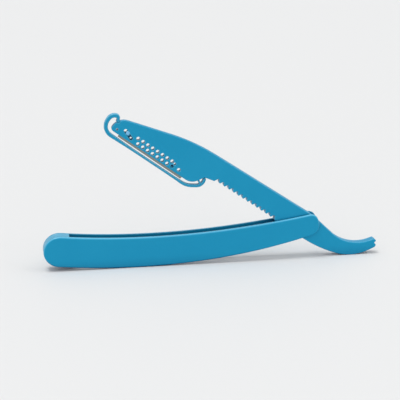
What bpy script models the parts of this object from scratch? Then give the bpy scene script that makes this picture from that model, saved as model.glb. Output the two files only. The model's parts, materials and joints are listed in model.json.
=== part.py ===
"""Folding surgical prep razor.

Two bowed handle scales hold a blade arm on a pin. The arm has a comb of teeth under its shank
and a flat head, in which a cover plate clamps a perforated steel blade. An edge guard swings
on the toe of the head.

Sizes are in millimetres. A flat piece is drawn as an outline in X and Z, seen from the front,
and gets its thickness along Y. The front of the razor faces -Y. The handle and the arm are
each drawn in a frame of their own, with the pivot at its origin and the toe towards -X.
"""
import math

import bmesh
import bpy
from mathutils import Matrix, Vector

MM = 0.001

# Handle scales
HANDLE_LENGTH = 125.5         # between the centres of the two round ends
HANDLE_BOW_RADIUS = 379.0     # of the bowed centre line
HANDLE_FAR_HEIGHT = 15.6      # at the closed end
HANDLE_PIVOT_HEIGHT = 10.9    # at the pivot
HANDLE_NARROWING = 3.0        # power of the curve that narrows the handle towards the pivot
HANDLE_FAR_REACH = 8.1        # of the closed end, past its centre
PIVOT_END_FULLNESS = 0.75     # power that squares the upper corner of the pivot's end a little
SCALE_WALL = 1.5              # cheek of one scale, beside the slot
SLOT_WIDTH = 5.0
SLOT_END_SETBACK = 5.2        # from the centre of the far round end to the end of the slot
SCALE_RIM = 0.8               # rounding of the outer edges
SEAM_GAP = 0.1                # between the two halves of the end block

# Dowels that join the scales in the end block
DOWEL_RADIUS = 1.0
DOWEL_SPREAD = 3.2            # of each dowel above and below the centre line
DOWEL_DEPTH = 1.5             # into each half of the block

# Pivot
PIN_RADIUS = 1.5
PIN_SEAT_DEPTH = 0.8          # of the pin's ends in the two scales
PIN_END_GAP = 0.1
PIN_FIT = 0.05                # radial clearance
PIN_RIM = 0.2

# Arm, shank and tail
ARM_OPENING = 39.55           # degrees between the arm's cutting edge and the handle's chord
SHANK_SIDE_GAP = 0.3          # between the shank and each scale
ARM_RIM = 0.35
SPINE_HEIGHT = 5.22           # above the pivot
SPINE_SLOPE = 2.4             # degrees, along the shank
TAIL_START = -0.8             # where the tail leaves the line of the spine
TAIL_START_RADIUS = 24.0
TAIL_HOLLOW = (26.0, 1.6)     # corner of the finger rest's hollow
TAIL_HOLLOW_RADIUS = 20.0
TAIL_TIP_TOP = (33.6, 13.1)
TAIL_TIP_TOP_RADIUS = 0.8
TAIL_TIP_END = (35.1, 13.0)
TAIL_TIP_END_RADIUS = 0.45
TAIL_TIP_LOW = (37.1, 10.2)
TAIL_TIP_LOW_RADIUS = 1.5
TAIL_NOTCH_PLACE = 1.4        # small notch in the end of the tail, from the end's upper corner
TAIL_NOTCH_WIDTH = 1.8
TAIL_NOTCH_DEPTH = 0.5
TAIL_NOTCH_LIP = 0.42
TAIL_BELLY = (30.3, -1.4)
TAIL_BELLY_RADIUS = 24.0
TAIL_ROOT = (12.3, -7.0)
TAIL_ROOT_RADIUS = 67.0

# Comb under the shank
COMB_SETBACK = 5.0            # from the heel's corner to the first tooth
COMB_DROP = 8.4               # from the pivot down to the first tooth's corner
COMB_SLOPE = 0.8              # degrees, up towards the pivot
TOOTH_COUNT = 13
TOOTH_PITCH = 2.9
TOOTH_HEIGHT = 2.5            # between the corners, before they are rounded
TOOTH_RADIUS = 0.5

# Head
HEAD_THICKNESS = 2.6
HEAD_TAPER_SETBACK = 4.8      # from where the shank begins to thin to the heel's corner
HEAD_TAPER_LENGTH = 20.0
HEAD_DROP = 15.8              # from the pivot down to the head's lower edge
HEAD_SPINE_SLOPE = 16.4       # degrees
SPINE_BREAK = 73.3            # from the pivot to where the spine turns down to the toe
SPINE_BREAK_RADIUS = 98.0
TOE_TOP_RADIUS = 7.0
TOE_LOW_RADIUS = 1.7
HEEL_REACH = 58.8             # from the pivot to the corner between shank and heel
HEEL_NOTCH_DROP = 9.6         # from the pivot down to that corner
HEEL_NOTCH_RADIUS = 0.5
HEEL_LEAN = 3.7               # of the heel, over its height
HEEL_RADIUS = 6.2

# Blade, and the pocket for it and its cover in the back of the head
BLADE_THICKNESS = 0.25
BLADE_EDGE_LENGTH = 38.0
BLADE_TAB_REACH = 3.3         # of each end tab past the edge
BLADE_HEEL_MARGIN = 5.9       # from the heel's corner to the blade
BLADE_TOE_MARGIN = 2.0        # from the blade to the front of the toe
BLADE_SHOWING = 0.65          # of the blade below the plastic
BLADE_BACK_DROP = 9.5         # from the pivot down to the blade's back
BLADE_TAB_TOP = 12.4          # from the pivot down to the upper corners of its end tabs
BLADE_TAB_FOOT = 14.9         # and to their lower corners
BLADE_CORNER = 0.6
EDGE_BEVEL = 1.0              # width of the ground bevel
EDGE_FLAT = 0.03              # thickness that is left at the edge
SEAT_GAP = 0.1                # between the blade and what clamps it
FRONT_WEB = 1.2               # plastic in front of the blade
POCKET_TOE_WALL = 1.6
POCKET_HEEL_WALL = 4.2        # from the heel's corner to the pocket's end
POCKET_HEEL_CORNER = 1.2
POCKET_TOP_GAP = 0.5          # above the blade's back
COVER_GAP = 0.15              # around the cover
COVER_TOE_RADIUS = 1.2        # of its two lower corners
COVER_HEEL_RADIUS = 2.4

# Openings in the head. Each place is a distance from the toe or heel end of the cutting edge,
# towards the middle of the blade, and a drop from the pivot.
HOLE_RADIUS = 0.9
HOLE_PITCH = 2.92
HOLE_START = 8.6              # from the edge's toe end to the first hole of the upper row
HOLE_LAND = 0.28              # least wall between a row's last hole and the next opening
UPPER_ROW_DROP = 11.95
LOWER_ROW_DROP = 14.25
HEEL_HOLE = (3.7, 13.65)      # lone rinse hole near the heel
SMALL_HOLE = (7.1, 12.3)
SMALL_HOLE_RADIUS = 0.65
HEEL_WINDOW = (7.6, 14.1)
HEEL_WINDOW_RADIUS = 0.9
TAB_HOLE = (-2.55, 13.95)     # shows the blade's tab and is blind behind it
TAB_HOLE_RADIUS = 0.6
TOE_SLOT_ENDS = ((1.3, 12.2), (5.7, 13.9))
TOE_SLOT_RADIUS = 0.85
TOE_SLOT_DRAIN_RADIUS = 0.5   # of the cover's hole behind the slot's lower end
STEEL_CLEARANCE = 0.1         # by which the blade's holes are wider than the plastic's
PEG_FIT = 0.15                # radial clearance of a peg in its window
PEG_RECESS = 0.3              # of a peg's end below the front of the head

# Edge guard
NECK_WIDTH = 1.3              # of the guard at its hinge
NECK_LENGTH = 2.6             # over which it widens to the curl
CURL_WIDTH = 1.85
CURL_TAPER = 14.0             # length from the toe over which the curl thins to the bar
BAR_WIDTH = 1.2
HOOK_WIDTH = 1.45
HOOK_SWELL = (11.7, 8.7)      # from the heel's corner, where the bar widens to the hook
GUARD_RIM = 0.3
GUARD_EDGE_GAP = 1.15         # between the cutting edge and the bar
GUARD_TOE_GAP = 2.55
CURL_RISE = 1.9               # of the curl's end above the hinge
CURL_LEAN = 1.2               # of that end, away from the head
CURL_FALL = 1.0               # of the curl's top, from that end out to the toe
CURL_END_RADIUS = 1.1
CURL_TOP_RADIUS = 3.6
CURL_LOW_RADIUS = 5.5
HOOK_START = 5.0              # from the heel's corner back to where the bar turns up
HOOK_START_RADIUS = 10.0
HOOK_REACH = 1.9              # from the heel's corner out to the hook's own corner
HOOK_RISE = 4.5               # of that corner above the bar
HOOK_RADIUS = 3.8
HOOK_LEAN = 20.0              # degrees, of the hook's end back towards the heel
HINGE_BEARING = 147.0         # degrees, around the rounding of the toe
HINGE_STANDOFF = 0.3          # of the hinge's centre outside the rounding
HINGE_GAP = 0.3
HOOK_GAP = 0.3                # between the hook's end and the shank
NIB_BEARING = -27.5           # degrees, around the rounding of the heel
NIB_HALF_WIDTH = 0.5
NIB_GAP = 0.2

# Facets
ARC_ERROR = 0.02              # between an arc and its chords
WIDEST_STEP = 24.0            # degrees, of an arc's chords
SHORTEST_STEP = 0.08          # between two points of an outline
LONG_EDGE_STEPS = 28          # along each bowed edge of the handle
HOLE_SIDES = 16
RIM_STEPS = 2
LONGEST_MITRE = 2.0           # at a sharp corner of an offset outline, as a share of the offset
SHARP_EDGE = 30.0             # degrees between faces, from which an edge is shaded sharp

# Finish
PLASTIC_COLOUR = (0.015, 0.27, 0.48)
PLASTIC_ROUGHNESS = 0.35
STEEL_COLOUR = (0.55, 0.53, 0.50)
STEEL_ROUGHNESS = 0.3

# The handle's tilt at rest is found by halving a range of this many degrees to each side
MOST_TILT = 30.0
TILT_HALVINGS = 50

# Cutters reach this far past what they cut
OVERSHOOT = 3.0

# Points nearer together than this are one
SNAP = 0.001

SHANK_THICKNESS = SLOT_WIDTH - 2 * SHANK_SIDE_GAP
HANDLE_THICKNESS = SLOT_WIDTH + 2 * SCALE_WALL
BLADE_FRONT = FRONT_WEB + SEAT_GAP - HEAD_THICKNESS / 2
BLADE_REAR = BLADE_FRONT + BLADE_THICKNESS
COVER_FRONT = BLADE_REAR + SEAT_GAP
BLADE_EDGE_DROP = HEAD_DROP + BLADE_SHOWING
COMB_START = HEEL_REACH - COMB_SETBACK
EDGE_HEEL = -(HEEL_REACH + BLADE_HEEL_MARGIN + BLADE_TAB_REACH)
EDGE_TOE = EDGE_HEEL - BLADE_EDGE_LENGTH
TOE_REACH = BLADE_TAB_REACH + BLADE_TOE_MARGIN - EDGE_TOE


def polar(centre, radius, degrees):
    """A point at a bearing and distance from a centre."""
    angle = math.radians(degrees)
    return centre[0] + radius * math.cos(angle), centre[1] + radius * math.sin(angle)


def circle(centre, radius, sides=HOLE_SIDES):
    """Outline of a round hole or pin."""
    return [polar(centre, radius, 360 * (i + 0.5) / sides) for i in range(sides)]


def arc_steps(radius, turn):
    """How many chords follow an arc of this radius and turn (radians)."""
    chord_angle = 2 * math.acos(max(0.0, 1 - ARC_ERROR / max(radius, ARC_ERROR)))
    return max(1, math.ceil(turn / min(chord_angle, math.radians(WIDEST_STEP))))


def corner_setbacks(corners, closed):
    """How far along its two sides each corner's rounding reaches, shortened where two
    neighbours would meet."""
    count = len(corners)
    turns, setbacks = [], []
    for i, (x, z, radius) in enumerate(corners):
        before = Vector(corners[i - 1][:2]) - Vector((x, z))
        after = Vector(corners[(i + 1) % count][:2]) - Vector((x, z))
        turn = math.pi - before.angle(after)
        turns.append(turn)
        at_end = not closed and i in (0, count - 1)
        setbacks.append(0.0 if at_end else radius * math.tan(turn / 2))
    shares = [1.0] * count
    for i in range(count if closed else count - 1):
        j = (i + 1) % count
        side = (Vector(corners[j][:2]) - Vector(corners[i][:2])).length
        reach = setbacks[i] + setbacks[j]
        if reach > side:
            shares[i] = min(shares[i], side / reach)
            shares[j] = min(shares[j], side / reach)
    return turns, [s * share for s, share in zip(setbacks, shares)]


def rounded_path(corners, closed=True):
    """Points along straight sides whose corners, given as (x, z, radius), are arcs."""
    turns, setbacks = corner_setbacks(corners, closed)
    points = []
    for i, (x, z, _) in enumerate(corners):
        here = Vector((x, z))
        if setbacks[i] < ARC_ERROR:
            points.append((x, z))
            continue
        before = (Vector(corners[i - 1][:2]) - here).normalized()
        after = (Vector(corners[(i + 1) % len(corners)][:2]) - here).normalized()
        radius = setbacks[i] / math.tan(turns[i] / 2)
        centre = here + (before + after).normalized() * radius / math.cos(turns[i] / 2)
        spoke = here + before * setbacks[i] - centre
        left_turn = before.x * after.y - before.y * after.x < 0
        steps = arc_steps(radius, turns[i])
        for k in range(steps + 1):
            angle = turns[i] * k / steps * (1 if left_turn else -1)
            points.append(tuple(centre + Matrix.Rotation(angle, 2) @ spoke))
    return [p for i, p in enumerate(points)
            if not (closed or i) or math.dist(p, points[i - 1]) > SHORTEST_STEP]


def side_normals(points, closed=True):
    """At each point of a path, the offset to its right-hand side for a distance of one."""
    count = len(points)
    offsets = []
    for i, point in enumerate(points):
        here = Vector(point)
        before = here - Vector(points[i - 1])
        after = Vector(points[(i + 1) % count]) - here
        if not closed and i == 0:
            before = after
        if not closed and i == count - 1:
            after = before
        before.normalize()
        after.normalize()
        middle = (before + after).normalized()
        stretch = 1 / max(middle.dot(after), 1 / LONGEST_MITRE)
        offsets.append(Vector((middle.y, -middle.x)) * stretch)
    return offsets


def shifted(points, distance, closed=True):
    """The path moved to its right-hand side by a distance."""
    return [tuple(Vector(p) + n * distance) for p, n in zip(points, side_normals(points, closed))]


def stroke(path, half_widths):
    """Outline of a band with round ends along an open path, from its half width at each point
    of the path."""
    stations = list(zip(path, side_normals(path, closed=False), half_widths))
    right = [tuple(Vector(p) + normal * half) for p, normal, half in stations]
    left = [tuple(Vector(p) - normal * half) for p, normal, half in reversed(stations)]
    caps = []
    for end, first in ((path[-1], right[-1]), (path[0], left[-1])):
        spoke = Vector(first) - Vector(end)
        steps = arc_steps(spoke.length, math.pi)
        turned = [Matrix.Rotation(math.pi * k / steps, 2) @ spoke for k in range(1, steps)]
        caps.append([tuple(Vector(end) + t) for t in turned])
    return right + caps[0] + left + caps[1]


def counter_clockwise(points):
    """The outline in the order that has its inside on the left."""
    pairs = zip(points, points[1:] + points[:1])
    area = sum(x0 * z1 - x1 * z0 for (x0, z0), (x1, z1) in pairs)
    return points if area > 0 else points[::-1]


def rim_profile(low, high, low_rim, high_rim):
    """Pairs of depth along Y and inset, from the front face round both rims to the back."""
    quarter = [math.pi / 2 * k / RIM_STEPS for k in range(RIM_STEPS + 1)]
    front = [(low + low_rim * (1 - math.cos(a)), low_rim * (1 - math.sin(a))) for a in quarter]
    back = [(high - high_rim * (1 - math.cos(a)), high_rim * (1 - math.sin(a))) for a in quarter]
    if low_rim == 0:
        front = [(low, 0.0)]
    if high_rim == 0:
        back = [(high, 0.0)]
    return front + back[::-1]


def add_plate(bm, outline, low, high, low_rim=0.0, high_rim=0.0):
    """Add a closed body: an outline with thickness along Y, from low to high, whose front
    and back edges are rounded by their rims."""
    outline = counter_clockwise(outline)
    rings = []
    for y, inset in rim_profile(low, high, low_rim, high_rim):
        ring = shifted(outline, -inset)
        rings.append([bm.verts.new((x * MM, y * MM, z * MM)) for x, z in ring])
    count = len(outline)
    for front, back in zip(rings, rings[1:]):
        for i in range(count):
            j = (i + 1) % count
            bm.faces.new((front[i], back[i], back[j], front[j]))
    caps = [bm.faces.new(rings[0]), bm.faces.new(rings[-1][::-1])]
    for cap in caps:
        cap.normal_update()
    bmesh.ops.triangulate(bm, faces=caps)


def thin_out(bm, axis, start, end, share, middle=0.0):
    """Thin a body along Y towards a plane: full thickness up to start, then down to a share
    of it at end, measured in millimetres along an axis (0 for X, 2 for Z)."""
    normal = [0.0, 0.0, 0.0]
    normal[axis] = 1.0
    for place in (start, end):
        spot = [c * place * MM for c in normal]
        everything = bm.verts[:] + bm.edges[:] + bm.faces[:]
        bmesh.ops.bisect_plane(bm, geom=everything, dist=SNAP * MM, plane_co=spot,
                               plane_no=normal)
    bmesh.ops.dissolve_degenerate(bm, dist=SNAP * MM, edges=bm.edges)
    for vert in bm.verts:
        along = (vert.co[axis] / MM - start) / (end - start)
        factor = 1 + (share - 1) * min(max(along, 0.0), 1.0)
        vert.co.y = middle * MM + (vert.co.y - middle * MM) * factor


def as_object(name, bm, parent, material=None):
    """An object made from a bmesh, shaded smooth except at its real edges."""
    mesh = bpy.data.meshes.new(name)
    bmesh.ops.recalc_face_normals(bm, faces=bm.faces)
    bm.to_mesh(mesh)
    bm.free()
    obj = bpy.data.objects.new(name, mesh)
    bpy.context.scene.collection.objects.link(obj)
    obj.parent = parent
    if material:
        mesh.materials.append(material)
        mesh.shade_smooth()
        mesh.set_sharp_from_angle(angle=math.radians(SHARP_EDGE))
    return obj


def combine(target, name, bm, operation):
    """Cut a hidden tool out of an object, or join it on."""
    tool = as_object(name, bm, target.parent)
    tool.hide_render = True
    tool.display_type = "WIRE"
    modifier = target.modifiers.new(name, "BOOLEAN")
    modifier.operation = operation
    modifier.object = tool


def plates(outlines, low, high):
    """Several separate plates of one thickness, for a tool with many holes."""
    bm = bmesh.new()
    for outline in outlines:
        add_plate(bm, outline, low, high)
    return bm


def material(name, colour, roughness, metallic=0.0):
    mat = bpy.data.materials.new(name)
    mat.use_nodes = True
    shader = mat.node_tree.nodes["Principled BSDF"]
    shader.inputs["Base Color"].default_value = (*colour, 1.0)
    shader.inputs["Roughness"].default_value = roughness
    shader.inputs["Metallic"].default_value = metallic
    return mat


def empty(name, parent, place=(0.0, 0.0), turn=0.0):
    """An empty at a place (x, z) of its parent's frame, turned clockwise as seen from the
    front by an angle in degrees."""
    obj = bpy.data.objects.new(name, None)
    bpy.context.scene.collection.objects.link(obj)
    obj.parent = parent
    obj.location = (place[0] * MM, 0.0, place[1] * MM)
    obj.rotation_euler = (0.0, math.radians(turn), 0.0)
    return obj


def handle_centre(share):
    """A point of the handle's bowed centre line, its upward normal, and the half height
    there, at a share of the way from the closed end to the pivot."""
    half_angle = math.asin(HANDLE_LENGTH / 2 / HANDLE_BOW_RADIUS)
    angle = half_angle * (2 * share - 1)
    rise = HANDLE_BOW_RADIUS * math.cos(half_angle)
    centre = Vector((HANDLE_BOW_RADIUS * math.sin(angle) - HANDLE_LENGTH / 2,
                     rise - HANDLE_BOW_RADIUS * math.cos(angle)))
    narrowing = (HANDLE_FAR_HEIGHT - HANDLE_PIVOT_HEIGHT) * share ** HANDLE_NARROWING
    return centre, Vector((-math.sin(angle), math.cos(angle))), (HANDLE_FAR_HEIGHT - narrowing) / 2


def handle_cap(station, reach, upper_power):
    """Half an ellipse round one end of the handle, from its lower to its upper edge. A power
    below one makes its upper quarter fuller."""
    centre, up, half = station
    out = Vector((up.y, -up.x)) * reach
    steps = arc_steps(half, math.pi)
    points = []
    for k in range(1, steps):
        angle = math.pi * k / steps
        power = upper_power if 2 * k > steps else 1.0
        rise = math.copysign(abs(math.cos(angle)) ** power, -math.cos(angle))
        points.append(tuple(centre + up * half * rise + out * math.sin(angle) ** power))
    return points


def handle_outline():
    """Both bowed edges of the handle, closed by a round cap at each end."""
    stations = [handle_centre(k / LONG_EDGE_STEPS) for k in range(LONG_EDGE_STEPS + 1)]
    bottom = [tuple(centre - up * half) for centre, up, half in stations]
    top = [tuple(centre + up * half) for centre, up, half in reversed(stations)]
    pivot_cap = handle_cap(stations[-1], stations[-1][2], PIVOT_END_FULLNESS)
    far_cap = handle_cap(stations[0], -HANDLE_FAR_REACH, 1.0)
    return bottom + pivot_cap + top + far_cap[::-1]


def make_scale(name, side, parent, plastic):
    """One handle scale. side is -1 for the front one and 1 for the rear one."""
    def span(inner, outer):
        return sorted((side * inner, side * outer))

    low, high = span(SEAM_GAP / 2, HANDLE_THICKNESS / 2)
    rims = (SCALE_RIM, 0.0) if side < 0 else (0.0, SCALE_RIM)
    bm = bmesh.new()
    add_plate(bm, handle_outline(), low, high, *rims)
    scale = as_object(name, bm, parent, plastic)

    slot_end = SLOT_END_SETBACK - HANDLE_LENGTH
    past = HANDLE_FAR_HEIGHT + OVERSHOOT
    slot = [(slot_end, -past), (past, -past), (past, past), (slot_end, past)]
    low, high = span(-OVERSHOOT, SLOT_WIDTH / 2)
    combine(scale, name + "_slot_cutter", plates([slot], low, high), "DIFFERENCE")

    low, high = span(SLOT_WIDTH / 2 - OVERSHOOT, SLOT_WIDTH / 2 + PIN_SEAT_DEPTH + PIN_END_GAP)
    seat = circle((0.0, 0.0), PIN_RADIUS + PIN_FIT, 2 * HOLE_SIDES)
    combine(scale, name + "_pin_seat_cutter", plates([seat], low, high), "DIFFERENCE")

    spots = [(-HANDLE_LENGTH, -DOWEL_SPREAD), (-HANDLE_LENGTH, DOWEL_SPREAD)]
    if side < 0:
        dowels = plates([circle(s, DOWEL_RADIUS) for s in spots], -DOWEL_DEPTH, DOWEL_DEPTH)
        combine(scale, name + "_dowels", dowels, "UNION")
    else:
        sockets = [circle(s, DOWEL_RADIUS + SEAM_GAP) for s in spots]
        cutter = plates(sockets, -DOWEL_DEPTH, DOWEL_DEPTH + SEAM_GAP)
        combine(scale, name + "_socket_cutter", cutter, "DIFFERENCE")


def make_pivot_pin(parent, steel):
    """Short dowel whose ends sit in blind seats, so that it doesn't show outside."""
    half = SLOT_WIDTH / 2 + PIN_SEAT_DEPTH
    bm = bmesh.new()
    add_plate(bm, circle((0.0, 0.0), PIN_RADIUS, 2 * HOLE_SIDES), -half, half, PIN_RIM, PIN_RIM)
    as_object("pivot_pin", bm, parent, steel)


def spine_height(x):
    """Height of the spine's straight lines over a place on the arm."""
    shank = SPINE_HEIGHT + math.tan(math.radians(SPINE_SLOPE)) * max(x, -SPINE_BREAK)
    return shank + math.tan(math.radians(HEAD_SPINE_SLOPE)) * min(x + SPINE_BREAK, 0.0)


def comb_corners():
    """Corners of the teeth, from the heel to the pivot."""
    rise = math.tan(math.radians(COMB_SLOPE))
    corners = [(-COMB_START, -COMB_DROP, TOOTH_RADIUS)]
    for k in range(TOOTH_COUNT):
        root, tip = TOOTH_PITCH * (k + 0.5), TOOTH_PITCH * (k + 1)
        corners.append((root - COMB_START, rise * root + TOOTH_HEIGHT - COMB_DROP, TOOTH_RADIUS))
        corners.append((tip - COMB_START, rise * tip - COMB_DROP, TOOTH_RADIUS))
    return corners


def tail_end_corners():
    """Corners of the tail's end, from low to top, with a small notch in its end face."""
    low, end = Vector(TAIL_TIP_LOW), Vector(TAIL_TIP_END)
    along = (end - low).normalized()
    inwards = Vector((-along.y, along.x))
    middle = end - along * TAIL_NOTCH_PLACE
    lips = [middle + along * s * TAIL_NOTCH_WIDTH / 2 for s in (-1, 1)]
    floor = middle + inwards * TAIL_NOTCH_DEPTH * 2
    return [(*low, TAIL_TIP_LOW_RADIUS), (*lips[0], TAIL_NOTCH_LIP),
            (*floor, TAIL_NOTCH_DEPTH), (*lips[1], TAIL_NOTCH_LIP),
            (*end, TAIL_TIP_END_RADIUS), (*TAIL_TIP_TOP, TAIL_TIP_TOP_RADIUS)]


def arm_outline():
    """The whole arm in one line: head, heel, comb, tail, spine and toe."""
    corners = [(-TOE_REACH, -HEAD_DROP, TOE_LOW_RADIUS),
               (-HEEL_REACH - HEEL_LEAN, -HEAD_DROP, HEEL_RADIUS),
               (-HEEL_REACH, -HEEL_NOTCH_DROP, HEEL_NOTCH_RADIUS)]
    corners += comb_corners()
    corners += [(*TAIL_ROOT, TAIL_ROOT_RADIUS), (*TAIL_BELLY, TAIL_BELLY_RADIUS)]
    corners += tail_end_corners()
    corners += [(*TAIL_HOLLOW, TAIL_HOLLOW_RADIUS),
                (TAIL_START, spine_height(TAIL_START), TAIL_START_RADIUS),
                (-SPINE_BREAK, spine_height(-SPINE_BREAK), SPINE_BREAK_RADIUS),
                (-TOE_REACH, spine_height(-TOE_REACH), TOE_TOP_RADIUS)]
    return rounded_path(corners)


def toe_rounding_centre():
    """Centre of the arc that rounds the top of the toe."""
    slope = math.radians(HEAD_SPINE_SLOPE)
    x = TOE_TOP_RADIUS - TOE_REACH
    return x, spine_height(x) - TOE_TOP_RADIUS / math.cos(slope)


def heel_rounding_centre():
    """Centre of the arc that rounds the bottom of the heel."""
    turn = math.atan2(HEAD_DROP - HEEL_NOTCH_DROP, HEEL_LEAN)
    setback = HEEL_RADIUS * math.tan(turn / 2)
    return -HEEL_REACH - HEEL_LEAN - setback, HEEL_RADIUS - HEAD_DROP


def hinge_place():
    """Centre of the guard's hinge in the arm's frame."""
    return polar(toe_rounding_centre(), TOE_TOP_RADIUS + HINGE_STANDOFF, HINGE_BEARING)


def from_toe(place):
    """A point of the head, from its distance to the edge's toe end and its drop."""
    return EDGE_TOE + place[0], -place[1]


def from_heel(place):
    """A point of the head, from its distance to the edge's heel end and its drop."""
    return EDGE_HEEL - place[0], -place[1]


def hole_row(start, drop, opening, opening_radius):
    """Centres of a row of rinse holes, which ends short of the next opening."""
    stop = opening[0] - opening_radius - HOLE_LAND - HOLE_RADIUS
    count = int((stop - start) / HOLE_PITCH) + 1
    return [(start + HOLE_PITCH * k, -drop) for k in range(count)]


def rinse_holes():
    """Centres of the two staggered rows of rinse holes and of the lone one at the heel."""
    start = EDGE_TOE + HOLE_START
    small_hole, window = from_heel(SMALL_HOLE), from_heel(HEEL_WINDOW)
    upper = hole_row(start, UPPER_ROW_DROP, small_hole, SMALL_HOLE_RADIUS)
    lower = hole_row(start + HOLE_PITCH / 2, LOWER_ROW_DROP, window, HEEL_WINDOW_RADIUS)
    return upper + lower + [from_heel(HEEL_HOLE)]


def through_holes(extra=0.0):
    """Outlines of the round holes that pass through the web, the blade and the cover."""
    outlines = [circle(spot, HOLE_RADIUS + extra) for spot in rinse_holes()]
    return outlines + [circle(from_heel(SMALL_HOLE), SMALL_HOLE_RADIUS + extra)]


def toe_slot_ends():
    """Centres of the round ends of the toe slot, upper end first."""
    return [from_toe(end) for end in TOE_SLOT_ENDS]


def window_outlines(extra=0.0):
    """Outlines of the toe slot and the heel window, in which the cover's pegs stand."""
    return [stroke(toe_slot_ends(), [TOE_SLOT_RADIUS + extra] * 2),
            circle(from_heel(HEEL_WINDOW), HEEL_WINDOW_RADIUS + extra)]


def pocket_outline(gap=0.0, low=-HEAD_DROP, toe_radius=0.0, heel_radius=0.0):
    """Outline of the pocket, or of what fills it to within a gap, with the radii of its lower
    corners. Its upper toe corner follows the rounding of the toe."""
    toe = POCKET_TOE_WALL - TOE_REACH + gap
    toe_corner = TOE_TOP_RADIUS - POCKET_TOE_WALL - gap
    heel = -HEEL_REACH - POCKET_HEEL_WALL - gap
    top = POCKET_TOP_GAP - BLADE_BACK_DROP - gap
    return rounded_path([(toe, low, toe_radius), (heel, low, heel_radius),
                         (heel, top, POCKET_HEEL_CORNER), (toe, top, toe_corner)])


def make_blade_arm(parent, plastic):
    """Head, comb shank and tail in one moulding, with a pocket in the back of the head."""
    half = SHANK_THICKNESS / 2
    bm = bmesh.new()
    add_plate(bm, arm_outline(), -half, half, ARM_RIM, ARM_RIM)
    taper = HEAD_TAPER_SETBACK - HEEL_REACH
    thin_out(bm, 0, taper, taper - HEAD_TAPER_LENGTH, HEAD_THICKNESS / SHANK_THICKNESS)
    arm = as_object("blade_arm", bm, parent, plastic)

    past = half + OVERSHOOT
    pocket = pocket_outline(low=-HEAD_DROP - OVERSHOOT)
    floor = BLADE_FRONT - SEAT_GAP
    combine(arm, "pocket_cutter", plates([pocket], floor, past), "DIFFERENCE")

    openings = through_holes() + window_outlines()
    openings.append(circle(from_toe(TAB_HOLE), TAB_HOLE_RADIUS))
    openings.append(circle((0.0, 0.0), PIN_RADIUS + PIN_FIT, 2 * HOLE_SIDES))
    openings.append(circle(hinge_place(), NECK_WIDTH / 2 + HINGE_GAP))
    combine(arm, "arm_openings_cutter", plates(openings, -past, past), "DIFFERENCE")


def make_blade(parent, steel):
    """Perforated steel strip with end tabs and a ground edge."""
    half_outline = [(0.0, -BLADE_BACK_DROP, BLADE_CORNER), (0.0, -BLADE_TAB_TOP, BLADE_CORNER),
                    (BLADE_TAB_REACH, -BLADE_TAB_TOP, BLADE_CORNER),
                    (BLADE_TAB_REACH, -BLADE_TAB_FOOT, BLADE_CORNER),
                    (0.0, -BLADE_TAB_FOOT, BLADE_CORNER), (0.0, -BLADE_EDGE_DROP, 0.0)]
    right = [(EDGE_HEEL + x, z, r) for x, z, r in half_outline]
    left = [(EDGE_TOE - x, z, r) for x, z, r in reversed(half_outline)]
    bm = bmesh.new()
    add_plate(bm, rounded_path(right + left), BLADE_FRONT, BLADE_REAR)
    thin_out(bm, 2, EDGE_BEVEL - BLADE_EDGE_DROP, -BLADE_EDGE_DROP, EDGE_FLAT / BLADE_THICKNESS,
             middle=(BLADE_FRONT + BLADE_REAR) / 2)
    blade = as_object("blade", bm, parent, steel)
    openings = through_holes(STEEL_CLEARANCE) + window_outlines(STEEL_CLEARANCE)
    cutter = plates(openings, BLADE_FRONT - OVERSHOOT, BLADE_REAR + OVERSHOOT)
    combine(blade, "blade_holes_cutter", cutter, "DIFFERENCE")


def make_blade_cover(parent, plastic):
    """Plate that clamps the blade from behind. Its two pegs pass through the blade into the
    windows of the head."""
    back = HEAD_THICKNESS / 2
    bm = bmesh.new()
    outline = pocket_outline(COVER_GAP, toe_radius=COVER_TOE_RADIUS, heel_radius=COVER_HEEL_RADIUS)
    add_plate(bm, outline, COVER_FRONT, back)
    cover = as_object("blade_cover", bm, parent, plastic)

    slot_top, slot_low = toe_slot_ends()
    drains = [circle(slot_top, TOE_SLOT_RADIUS), circle(slot_low, TOE_SLOT_DRAIN_RADIUS)]
    cutter = plates(through_holes() + drains, COVER_FRONT - OVERSHOOT, back + OVERSHOOT)
    combine(cover, "cover_holes_cutter", cutter, "DIFFERENCE")

    toe_peg = (Vector(slot_top) + Vector(slot_low)) / 2
    pegs = [circle(toe_peg, TOE_SLOT_RADIUS - PEG_FIT),
            circle(from_heel(HEEL_WINDOW), HEEL_WINDOW_RADIUS - PEG_FIT)]
    tip = PEG_RECESS - HEAD_THICKNESS / 2
    combine(cover, "cover_pegs", plates(pegs, tip, (COVER_FRONT + back) / 2), "UNION")


def hook_end(corner):
    """Where the guard's middle line ends, under the shank: up from the hook's corner."""
    notch = Vector((-HEEL_REACH, -HEEL_NOTCH_DROP))
    underside = Vector((-COMB_START, -COMB_DROP)) - notch
    slope = underside.y / underside.x
    ceiling = notch.y + (corner.x - notch.x) * slope
    clearance = (HOOK_GAP + HOOK_WIDTH / 2) * math.hypot(1.0, slope)
    lean = math.radians(HOOK_LEAN)
    length = (ceiling - corner.y - clearance) / (math.cos(lean) + slope * math.sin(lean))
    return corner + length * Vector((-math.sin(lean), math.cos(lean)))


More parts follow.
